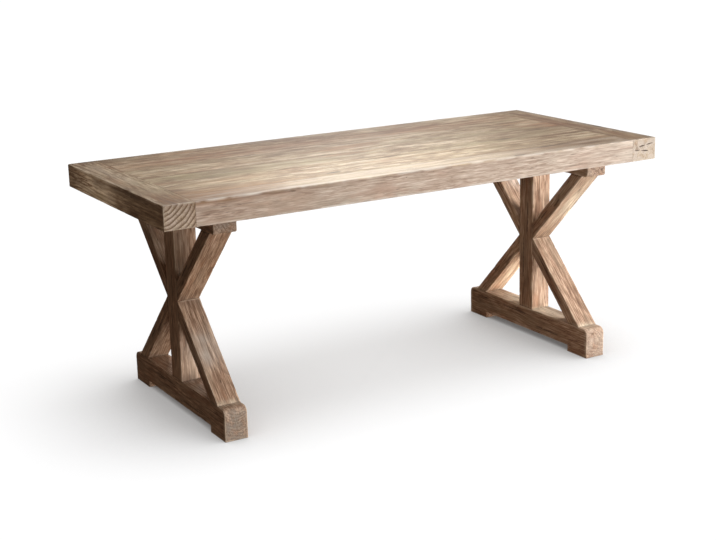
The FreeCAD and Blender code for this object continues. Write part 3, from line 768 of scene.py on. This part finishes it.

# Stains, and patches of painted light and shade: colour, middle (on the top where it has no height), reach
# along each axis and strength
OLIVE = paint(138, 124, 92)
BROWN = paint(112, 82, 58)
RUST = paint(150, 108, 78)
GREY = paint(150, 142, 130)
PALE = paint(208, 192, 168)
PALE_GREY = paint(196, 181, 166)
DARK = paint(66, 48, 36)
DUST = paint(140, 131, 120)
ASH = paint(186, 172, 157)
TAN = paint(182, 161, 131)
# A very pale colour, painted on the right trestle's braces as light
PAINTED_LIGHT_PALE = paint(226, 208, 190)
OCHRE = paint(146, 108, 68)
TOP_STAINS_AND_PAINTED_LIGHT = (
    (TAN, (0.0, -0.345), (2.0, 0.07, 0.006), 0.7),
    (BROWN, (-0.86, -0.31), (0.06, 0.11, 0.02), 0.95),
    (OLIVE, (-0.7, -0.04), (0.16, 0.04, 0.03), 0.7),
    (OLIVE, (-0.5, -0.09), (0.14, 0.03, 0.03), 0.6),
    (BROWN, (-0.7, -0.255), (0.11, 0.028, 0.02), 0.8),
    (RUST, (-0.45, 0.24), (0.38, 0.07, 0.03), 0.75),
    (RUST, (0.3, 0.26), (0.45, 0.05, 0.03), 0.75),
    (BROWN, (-0.22, 0.013), (0.1, 0.012, 0.03), 0.6),
    (BROWN, (0.23, 0.013), (0.07, 0.01, 0.03), 0.7),
    (BROWN, (0.23, 0.248), (0.09, 0.012, 0.03), 0.6),
    (BROWN, (-0.19, 0.151), (0.13, 0.014, 0.03), 0.6),
    (BROWN, (0.62, -0.05), (0.2, 0.12, 0.03), 0.3),
    (BROWN, (0.808, 0.0), (0.01, 0.45, 0.02), 0.85),
    (RUST, (0.83, 0.05), (0.03, 0.1, 0.03), 0.8),
    (BROWN, (0.845, 0.0), (0.03, 0.5, 0.02), 0.8),
    (GREY, (0.897, 0.0), (0.016, 0.6, 0.04), 0.9),
    (GREY, (0.0, 0.375), (1.2, 0.022, 0.03), 0.45),
    (PALE, (-0.86, 0.24), (0.03, 0.1, 0.03), 0.6),
    (PALE, (-0.85, 0.05), (0.02, 0.14, 0.03), 0.5),
    (BROWN, (-0.89, -0.15), (0.022, 0.26, 0.03), 0.4),
    (PALE_GREY, (-0.855, -0.3925, TOP - 0.035), (0.08, 0.008, 0.08), 0.8),
    (ASH, (0.855, -0.3925, TOP - 0.035), (0.1, 0.008, 0.1), 0.95),
    # Painted light: the left end board's outer face made paler
    (PALE, (-0.905, 0.2, TOP - 0.03), (0.01, 0.35, 0.06), 0.9),
    (DARK, (-0.835, 0.39), (0.045, 0.014, 0.02), 0.9),
    (DARK, (0.48, -0.109), (0.03, 0.009, 0.02), 0.95),
    (DARK, (0.5, -0.3), (0.1, 0.012, 0.02), 0.85),
    (DARK, (0.64, -0.345), (0.09, 0.011, 0.02), 0.9),
    (DARK, (-0.79, -0.392), (0.035, 0.009, 0.005), 0.9),
    (RUST, (-0.66, -0.3925, TOP - 0.035), (0.18, 0.01, 0.06), 0.35),
    (BROWN, (-0.4, -0.3925, TOP - 0.006), (0.36, 0.004, 0.006), 0.6),
    (BROWN, (-0.72, -0.335), (0.19, 0.065, 0.01), 0.95),
    (DARK, (-0.905, -0.14, TOP - 0.008), (0.006, 0.26, 0.01), 0.65),
    (DARK, (-0.905, 0.13, TOP - 0.018), (0.006, 0.05, 0.012), 0.55),
    (BROWN, (0.57, -0.335), (0.22, 0.05, 0.01), 0.55),
    # Painted light: the front rail paler towards its right end, where the light falls stronger
    (PALE_GREY, (0.68, -0.3925, TOP - 0.035), (0.32, 0.008, 0.08), 0.4),
    (OCHRE, (-0.74, -0.3), (0.14, 0.06, 0.01), 0.8),
    (OCHRE, (-0.54, -0.29), (0.13, 0.035, 0.01), 0.7),
    (OCHRE, (-0.6, -0.16), (0.15, 0.025, 0.01), 0.55),
    (RUST, (0.79, 0.04), (0.035, 0.05, 0.02), 0.85),
    (RUST, (0.72, 0.055), (0.06, 0.014, 0.02), 0.7),
    (BROWN, (0.66, -0.15), (0.12, 0.013, 0.02), 0.7),
    (BROWN, (0.6, -0.02), (0.16, 0.012, 0.02), 0.7),
)

# Drying cracks in the right end board's front end: start and end (height, place along), width
END_CHECK_STEPS = 9
END_CHECK_DRIFT = 0.0003
END_CHECK_DEPTH = 0.004
END_CHECKS = (
    ((0.7335, 0.83), (0.737, 0.86), 0.0044),
    ((0.7375, 0.8625), (0.7425, 0.894), 0.0034),
    ((0.723, 0.81), (0.7215, 0.837), 0.0028),
    ((0.72, 0.84), (0.7165, 0.877), 0.0042),
)


def make_long_board(node, seed, pith, outer=None, palette=TOP_PALETTE, **looks):
    """A rail or a field plank, with its fibres along the table."""
    low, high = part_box(node)
    ends = [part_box("end_board_left")[1].x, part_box("end_board_right")[0].x]
    radii = [SEAM] * 4
    if outer == "front":
        radii = [TOP_ARRIS, LOW_ARRIS, SEAM, TOP_ARRIS]
    elif outer == "back":
        radii = [LOW_ARRIS, TOP_ARRIS, TOP_ARRIS, SEAM]
    outline = Outline(rectangle(low.yz, high.yz), radii, [SEAM] * 4)
    shape = prism(f"{node}_timber", outline, ends, "yzx", seed)
    material = weathered_wood(f"{node}_wood", palette, seed, **{**TOP_LOOKS, **looks})
    middle = np.array([0.0, (low.y + high.y) / 2, high.z])
    finish_piece(shape, node, material, X, middle + pith, seed, TOP_STAINS_AND_PAINTED_LIGHT)


def make_end_board(end, seed, pith, checks=((), ()), palette=TOP_PALETTE, **looks):
    """An end board, with its fibres across the table and its end grain at front and back."""
    node = f"end_board_{end}"
    low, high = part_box(node)
    corners = rectangle((low.z, low.x), (high.z, high.x))
    radii = [TOP_ARRIS, TOP_ARRIS, SEAM, LOW_ARRIS]
    eases = [TOP_ARRIS, TOP_ARRIS, SEAM, TOP_ARRIS]
    if end == "right":
        radii = [LOW_ARRIS, SEAM, TOP_ARRIS, TOP_ARRIS]
        eases = [SEAM, TOP_ARRIS, TOP_ARRIS, TOP_ARRIS]
    outline = Outline(corners, radii, eases)
    shape = prism(f"{node}_timber", outline, (low.y, high.y), "zxy", seed, cap_cell=END_CELL, checks=checks)
    material = weathered_wood(f"{node}_wood", palette, seed, **{**TOP_LOOKS, **looks})
    corner = np.array([low.x if end == "left" else high.x, 0.0, high.z])
    finish_piece(shape, node, material, Y, corner + pith, seed, TOP_STAINS_AND_PAINTED_LIGHT)


def drying_checks(start, end, breadth, seed):
    """Cracks along a member's face, from start to end and as broad as given."""
    start, end = np.array(start), np.array(end)
    run = end - start
    across = left_of(run) / np.hypot(*run)
    checks = []
    for number, (first, last, side) in enumerate(CHECK_PLACES):
        shifts = lattice(np.array([[number, place] for place in range(3)]), seed)
        first, last, side = np.array([first, last, side]) + CHECK_SHIFT * shifts
        origin = start + across * breadth * side
        path = meander(origin + run * first, origin + run * last, CHECK_STEPS, CHECK_DRIFT, seed + number)
        checks.append((path, CHECK_WIDTH, CHECK_DEPTH))
    return checks


def end_checks():
    """Cracks in the front end of the right end board."""
    return [
        (meander(start, end, END_CHECK_STEPS, END_CHECK_DRIFT, number), width, END_CHECK_DEPTH)
        for number, (start, end, width) in enumerate(END_CHECKS)
    ]


def trestle_marks_and_light(middle):
    """Marks of the trestle that stands at a middle along the table: dust, pale places and darker foot
    bottoms, painted shade where members meet, under the bearer and on the left trestle's upper post and arm,
    and painted light on the right trestle's braces.
    """
    # Darker along the bottom edge of the feet
    stains_and_painted_light = [(DARK, (middle, 0.0, 0.0), (0.08, 0.5, 0.012), 0.5)]
    if middle < 0:
        dusty, dust = DUST, 0.85
        stains_and_painted_light += [
            (PALE_GREY, (middle + 0.02, -0.045, 0.2), (0.06, 0.016, 0.12), 0.7),
            (PALE_GREY, (middle, -0.16, 0.25), (0.05, 0.055, 0.07), 0.9),
            (BROWN, (middle, -0.255, 0.155), (0.05, 0.04, 0.04), 0.3),
            # Painted shade on the left trestle's upper post and upper front arm, under the table top
            (BROWN, (middle, -0.0385, 0.55), (0.06, 0.01, 0.14), 0.6),
            (BROWN, (middle + 0.02, -0.2, 0.52), (0.06, 0.1, 0.12), 0.3),
        ]
    else:
        dusty, dust = PALE_GREY, 0.5
        stains_and_painted_light += [
            # Painted light: paler patches on the right trestle's back braces and upper front arm
            (PALE, (middle + 0.03, 0.18, 0.24), (0.05, 0.1, 0.11), 0.8),
            (PAINTED_LIGHT_PALE, (middle + 0.03, 0.24, 0.6), (0.05, 0.14, 0.13), 0.9),
            (PALE, (middle + 0.03, -0.2, 0.52), (0.05, 0.1, 0.12), 0.8),
            (PALE, (middle, 0.0, 0.102), (0.05, 0.24, 0.006), 0.8),
        ]
    for sign in SIDES.values():
        stains_and_painted_light += [
            # Painted shade where the braces meet the post, and under the bearer
            (DARK, (middle, 0.058 * sign, 0.372), (0.07, 0.03, 0.035), 0.4),
            (DARK, (middle, 0.07 * sign, 0.67), (0.07, 0.05, 0.04), 0.4),
            (PALE, (middle, 0.285 * sign, 0.106), (0.06, 0.034, 0.007), 0.8),
            (dusty, (middle, 0.35 * sign, 0.05), (0.07, 0.012, 0.07), dust),
            (dusty, (middle, 0.34 * sign, 0.662), (0.07, 0.012, 0.04), 0.7 * dust),
        ]
    return stains_and_painted_light


def make_leg(node, corners, radii, eases, line, seed, pith, **looks):
    """A member of a trestle, cut from a thick plank, with its fibres along a line."""
    low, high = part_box(node)
    end = node.rsplit("_", 1)[1]
    outline = Outline(corners, radii, eases)
    start, stop = np.array(line)
    breadth = BRACE_WIDTH if "brace" in node else min(high.y - low.y, high.z - low.z)
    checks = [drying_checks(start, stop, breadth, seed + step) for step in CHECK_SEEDS]
    shape = prism(f"{node}_timber", outline, (low.x, high.x), "yzx", seed, checks=checks)
    # The right trestle's back braces are made lighter, as painted light
    tone = BACK_RIGHT_PAINTED_LIGHT_TONE if "back_right" in node else LEG_TONES[end]
    tone += TONE_STEP * lattice(np.array([[1, 2]]), seed)[0]
    palette = tinted(LEG_PALETTE, tone, tone, tone)
    material = weathered_wood(f"{node}_wood", palette, seed, **{**LEG_LOOKS[end], **looks})
    middle = (low.x + high.x) / 2
    centre = np.array([middle, *np.mean(corners, axis=0)])
    fibres = (0.0, *(stop - start))
    finish_piece(shape, node, material, fibres, centre + pith, seed, trestle_marks_and_light(middle))


def make_trestle(end, seed):
    """The replaced members of one trestle."""
    foot_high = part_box(f"foot_{end}")[1]
    bearer_low, bearer_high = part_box(f"bearer_{end}")
    half, relief = foot_high.y, FOOT_RELIEF
    foot = [
        (-half, 0.0), (PAD_LENGTH - half, 0.0), (PAD_LENGTH - half, relief), (half - PAD_LENGTH, relief),
        (half - PAD_LENGTH, 0.0), (half, 0.0), (half, foot_high.z), (-half, foot_high.z),
    ]
    foot_radii = [LOW_ARRIS] * 6 + [NOSE_RADIUS] * 2
    foot_line = [(sign * half, (relief + foot_high.z) / 2) for sign in (-1, 1)]
    make_leg(f"foot_{end}", foot, foot_radii, [LEG_ARRIS] * 8, foot_line, seed, (0.02, 0.0, 0.09),
             ring=0.011, end_figure=0.35)
    bearer = rectangle(bearer_low.yz, bearer_high.yz)
    bearer_radii = [BEARER_END_RADIUS, BEARER_END_RADIUS, SEAM, SEAM]
    bearer_eases = [LEG_ARRIS, LEG_ARRIS, SEAM, LEG_ARRIS]
    bearer_line = [(sign * bearer_high.y, (bearer_low.z + bearer_high.z) / 2) for sign in (-1, 1)]
    make_leg(f"bearer_{end}", bearer, bearer_radii, bearer_eases, bearer_line, seed + 1, (0.05, 0.0, 0.05),
             end_figure=0.4)
    post_low, post_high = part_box(f"post_{end}")
    post = rectangle((post_low.y, foot_high.z), (post_high.y, bearer_low.z))
    post_line = [(0.0, foot_high.z), (0.0, bearer_low.z)]
    post_eases = [SEAM, LEG_ARRIS, SEAM, LEG_ARRIS]
    make_leg(f"post_{end}", post, [SEAM] * 4, post_eases, post_line, seed + 2, (0.03, 0.09, 0.0))
    for number, (level, side) in enumerate(itertools.product(LEDGES, SIDES)):
        make_brace(level, side, end, post_high.y, seed + 3 + number)


def make_brace(level, side, end, post_face, seed):
    """Half of one diagonal, from the post to the foot or to the bearer."""
    node = f"brace_{level}_{side}_{end}"
    low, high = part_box(node)
    sign = SIDES[side]
    reach = max(abs(low.y), abs(high.y))
    waist, far = (high.z, low.z) if level == "lower" else (low.z, high.z)
    outer = post_face + LEDGES[level]
    slope = abs(waist - far) / (reach - outer)
    footprint = BRACE_WIDTH * math.sqrt(1 + 1 / slope ** 2)
    heel = reach - footprint
    rise = math.copysign(1, waist - far)
    inner = far + (heel - post_face) * slope * rise
    corners = [(post_face, waist), (outer, waist), (reach, far), (heel, far), (post_face, inner)]
    corners = [(sign * y, z) for y, z in corners]
    radii = [SEAM, LEG_ARRIS, SEAM, SEAM, SEAM]
    eases = [LEG_ARRIS, LEG_ARRIS, SEAM, LEG_ARRIS, SEAM]
    end_middle = reach - footprint / 2
    line = [(sign * (end_middle - (reach - outer)), waist), (sign * end_middle, far)]
    make_leg(node, corners, radii, eases, line, seed, (0.04, 0.05 * sign, 0.05 * rise))


def dress_nodes():
    """Give the solids that stay visible their wood and steel."""
    for number, (node, item) in enumerate(sorted(frame["nodes"].items())):
        if item.hide_render:
            continue
        middle = sum(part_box(node), Vector()) / 2
        if "batten" in node and "screws" not in node:
            turned = (-middle.y, middle.x + 0.05, -middle.z - 0.06)
            fibres = (turned, (0.0, 0.0, -math.pi / 2))
            material = weathered_wood(f"{node}_wood", LEG_PALETTE, number, fibres=fibres)
        elif any(word in node for word in ("splines", "pegs", "dowels")):
            fibres = ((0.0, 0.03, 0.02), (0.0, 0.0, 0.0))
            material = weathered_wood(f"{node}_wood", TOP_PALETTE, number, ring=0.003, fibres=fibres)
        else:
            material = zinc_steel(f"{node}_steel", number)
        item.data.materials.clear()
        item.data.materials.append(material)


def hang_light(name, data, place, aim, receivers, mirrored):
    """Hang a light at a place, turned to an aim, that lights only its receivers."""
    lamp = new_object(name, data)
    lamp.location = place
    lamp.rotation_euler = (Vector(aim) - Vector(place)).to_track_quat("-Z", "Y").to_euler()
    lamp.light_linking.receiver_collection = receivers
    lamp.visible_camera = False
    lamp.visible_glossy = mirrored


# The camera: its place, its turn in degrees, and its lens in millimetres
CAMERA_PLACE = (-2.37395, -3.99508, 1.60101)
CAMERA_TURN = (74.9034, 1.3803, -30.5359)
FOCAL_LENGTH = 71.117
SENSOR_WIDTH = 36.0

# The floor's finish, and how far a soft shade reaches round what stands on it
WHITE = (1.0, 1.0, 1.0, 1.0)
FLOOR_REACH = 400.0
FLOOR_FINISH = {
    "Base Color": (0.39, 0.4, 0.41, 1.0),
    "Roughness": 0.9,
    "Specular IOR Level": 0.0,
    "Emission Color": WHITE,
}
FLOOR_SHADE_REACH = 0.6
FLOOR_GLOW = 0.65

# The sky's bright side, and its colours from the dim side to the bright one
BRIGHT_SIDE = (0.6, -0.45, 0.66)
SKY = ((0.22, (0.108, 0.075, 0.053, 1.0)), (0.95, WHITE))
SKY_STRENGTH = 1.21
SUN_PLACE = (0.5, -0.1, 3.0)
SUN_STRENGTH = 1.45
SUN_ANGLE = 40.0

# Soft lights: name, place, aim, size, power, colour, what it falls on, angle it fans out over
LIGHTS = (
    ("key", (2.7, -2.2, 0.85), (0.5, 0, 0.5), (1, 1), 86, (0.95, 1, 1.06), "table", 180),
    ("sheen", (1.7, 2.9, 3.6), (0, -0.3, 0.76), (0.8, 0.6), 100, (1, 0.98, 0.97), "table", 180),
    ("pool", (-0.1, -0.22, 1.75), (-0.1, -0.3, 0.76), (1.1, 0.3), 2.6, (0.9, 1, 1.04), "table", 60),
    ("front bounce", (0.2, -1.6, 0.02), (0.2, 0, 0.5), (2, 0.6), 22, (1, 0.94, 0.88), "table", 180),
    ("right bounce", (1, -0.29, 0.03), (0.69, -0.2, 0.5), (0.3, 0.1), 2.6, (0.98, 0.98, 0.95), "table", 180),
    ("left bounce", (-0.45, -0.28, 0.03), (-0.69, -0.05, 0.25), (0.3, 0.1), 0.8, (1, 0.9, 0.8), "table", 180),
    ("side bounce", (1.05, 0, 0.03), (0.69, 0.2, 0.3), (0.3, 0.3), 4.2, (1, 0.84, 0.7), "braces", 180),
    ("kick", (1.3, -0.38, 0.6), (0.69, 0.2, 0.58), (0.2, 0.2), 6.2, (1, 0.98, 0.98), "trestle", 180),
    ("brace kick", (1.2, -0.36, 0.62), (0.69, 0.25, 0.62), (0.2, 0.2), 3, (1, 0.95, 0.92), "braces", 180),
    ("end fill", (-2, 0.2, 0.74), (-0.905, 0.15, 0.725), (0.3, 0.05), 0.07, (1, 0.92, 0.84), "table", 20),
    ("glow", (0.15, -0.1, 0.04), (0.69, 0.05, 0.35), (0.5, 0.5), 0.2, (1, 0.5, 0.3), "table", 180),
    ("back fill", (0.6, 3.2, 0.5), (0, 0.3, 0.42), (2, 0.3), 40, (1, 0.97, 0.93), "table", 180),
)


def make_floor():
    """A pale floor that shows shadows and throws no light back on the table."""
    corners = np.array(rectangle((-1.0, -1.0), (1.0, 1.0))) * FLOOR_REACH
    mesh = bpy.data.meshes.new("floor")
    mesh.from_pydata(np.column_stack([corners, np.zeros(4)]).tolist(), [], [(0, 1, 2, 3)])
    floor = new_object("floor", mesh)
    pale = Graph(bpy.data.materials.new("pale_floor"))
    near = pale.add("ShaderNodeAmbientOcclusion", {"Distance": FLOOR_SHADE_REACH})
    glow = pale.math("MULTIPLY", near.outputs["AO"], FLOOR_GLOW)
    pale.fill(pale.shader, {**FLOOR_FINISH, "Emission Strength": glow})
    mesh.materials.append(pale.owner)
    floor.visible_diffuse = False
    floor.visible_glossy = False
    return floor


def make_world():
    """Light from all round, bright at the upper front right, dim and warm behind; white to the camera."""
    world = bpy.data.worlds.new("studio")
    bpy.context.scene.world = world
    sky = Graph(world)
    place = sky.add("ShaderNodeTexCoord").outputs["Generated"]
    side = sky.vector("DOT_PRODUCT", place, Vector(BRIGHT_SIDE).normalized(), output="Value")
    ramp = sky.add("ShaderNodeValToRGB", {"Fac": side})
    ramp.color_ramp.interpolation = "EASE"
    for stop, (position, colour) in zip(ramp.color_ramp.elements, SKY):
        stop.position = position
        stop.color = colour
    seen = sky.add("ShaderNodeLightPath").outputs["Is Camera Ray"]
    colour = sky.mix(seen, ramp.outputs["Color"], WHITE)
    sky.fill(sky.tree.nodes["Background"], {"Color": colour, "Strength": SKY_STRENGTH})


def make_groups(floor):
    """What lights fall on: the floor, all but the floor, the right trestle, its back braces."""
    groups = {name: bpy.data.collections.new(name) for name in ("floor", "table", "trestle", "braces")}
    for name, state in (("floor", "INCLUDE"), ("table", "EXCLUDE")):
        groups[name].objects.link(floor)
        groups[name].collection_objects[0].light_linking.link_state = state
    for piece in bpy.context.scene.objects:
        if "right_timber" in piece.name and "board" not in piece.name:
            groups["trestle"].objects.link(piece)
        if "back_right_timber" in piece.name:
            groups["braces"].objects.link(piece)
    return groups


def make_lights(floor):
    """Key, fill and bounce for the table, and a sun that lays its shadow on the floor."""
    groups = make_groups(floor)
    for name, place, aim, size, power, colour, group, spread in LIGHTS:
        light = bpy.data.lights.new(name, "AREA")
        light.shape = "RECTANGLE"
        light.size, light.size_y = size
        light.energy = power
        light.color = colour
        light.spread = math.radians(spread)
        hang_light(name, light, place, aim, groups[group], name == "sheen")
    sun = bpy.data.lights.new("overhead", "SUN")
    sun.energy = SUN_STRENGTH
    sun.angle = math.radians(SUN_ANGLE)
    hang_light("overhead", sun, SUN_PLACE, (0.0, 0.0, 0.0), groups["floor"], True)


def make_camera():
    """The camera at the photograph's angle."""
    lens = bpy.data.cameras.new("camera")
    lens.sensor_width = SENSOR_WIDTH
    lens.lens = FOCAL_LENGTH
    camera = new_object("camera", lens)
    camera.location = CAMERA_PLACE
    camera.rotation_euler = np.radians(CAMERA_TURN)
    bpy.context.scene.camera = camera


make_end_board("left", 1, (-0.02, 0.0, 0.05), palette=tinted(TOP_PALETTE, 0.88, 0.87, 0.86), ring=0.013,
               figure=0.8, end_figure=1.0, wobble=0.3, contrast=4.8, spread=1.0, pores=1.0)
make_end_board("right", 2, (0.03, 0.0, -0.11), checks=(end_checks(), ()), ring=0.008, end_figure=0.06,
               wobble=0.25)
make_long_board("front_rail", 3, (0.0, 0.04, -0.03), outer="front",
                palette=tinted(RAIL_PALETTE, 0.83, 0.84, 0.85), ring=0.008, figure=0.3, contrast=2.2,
                spread=0.9, reach=2.4, pores=0.7)
make_long_board("back_rail", 4, (0.0, 0.02, -0.14), outer="back")
for count, plank_pith in enumerate(PLANK_PITHS, start=1):
    make_long_board(f"top_plank_{count}", 4 + count, plank_pith, seam=0.35)
make_trestle("left", 20)
make_trestle("right", 40)
dress_nodes()
bpy.context.scene.view_settings.view_transform = "Standard"
make_lights(make_floor())
make_world()
make_camera()
